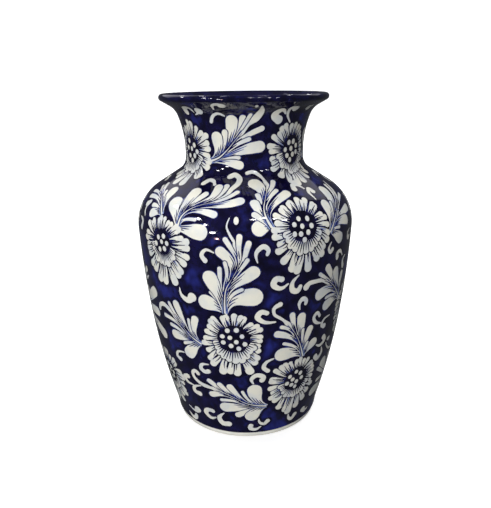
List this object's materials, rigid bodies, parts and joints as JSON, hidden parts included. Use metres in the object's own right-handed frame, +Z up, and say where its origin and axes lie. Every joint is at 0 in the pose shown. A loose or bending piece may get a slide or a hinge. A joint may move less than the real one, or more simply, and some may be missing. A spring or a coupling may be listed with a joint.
{
  "type": "talavera pottery vase",
  "caption": "Glazed earthenware baluster vase with a high round shoulder, waisted neck and flared lip, painted white on cobalt, for flowers or display.",
  "frame": {"origin": "middle of the foot, on the standing surface", "axes": "+Z up along the turning axis, towards the lip; the side with the low central flower faces -Y"},
  "size_m": [0.194, 0.194, 0.3],
  "materials": {
    "biscuit_clay": "unglazed, matt",
    "clay": "matt, under the glaze",
    "white_glaze": "glossy tin glaze",
    "painted_glaze": "glossy, white motifs kept out of brushed cobalt",
    "blue_glaze": "glossy cobalt"
  },
  "bodies": {
    "root": {"foot_ring": "biscuit_clay", "body": "clay", "neck": "clay", "foot_glaze": "white_glaze", "inside_glaze": "white_glaze", "body_glaze": "painted_glaze", "neck_glaze": "painted_glaze", "lip_glaze": "blue_glaze"}
  },
  "joints": []
}
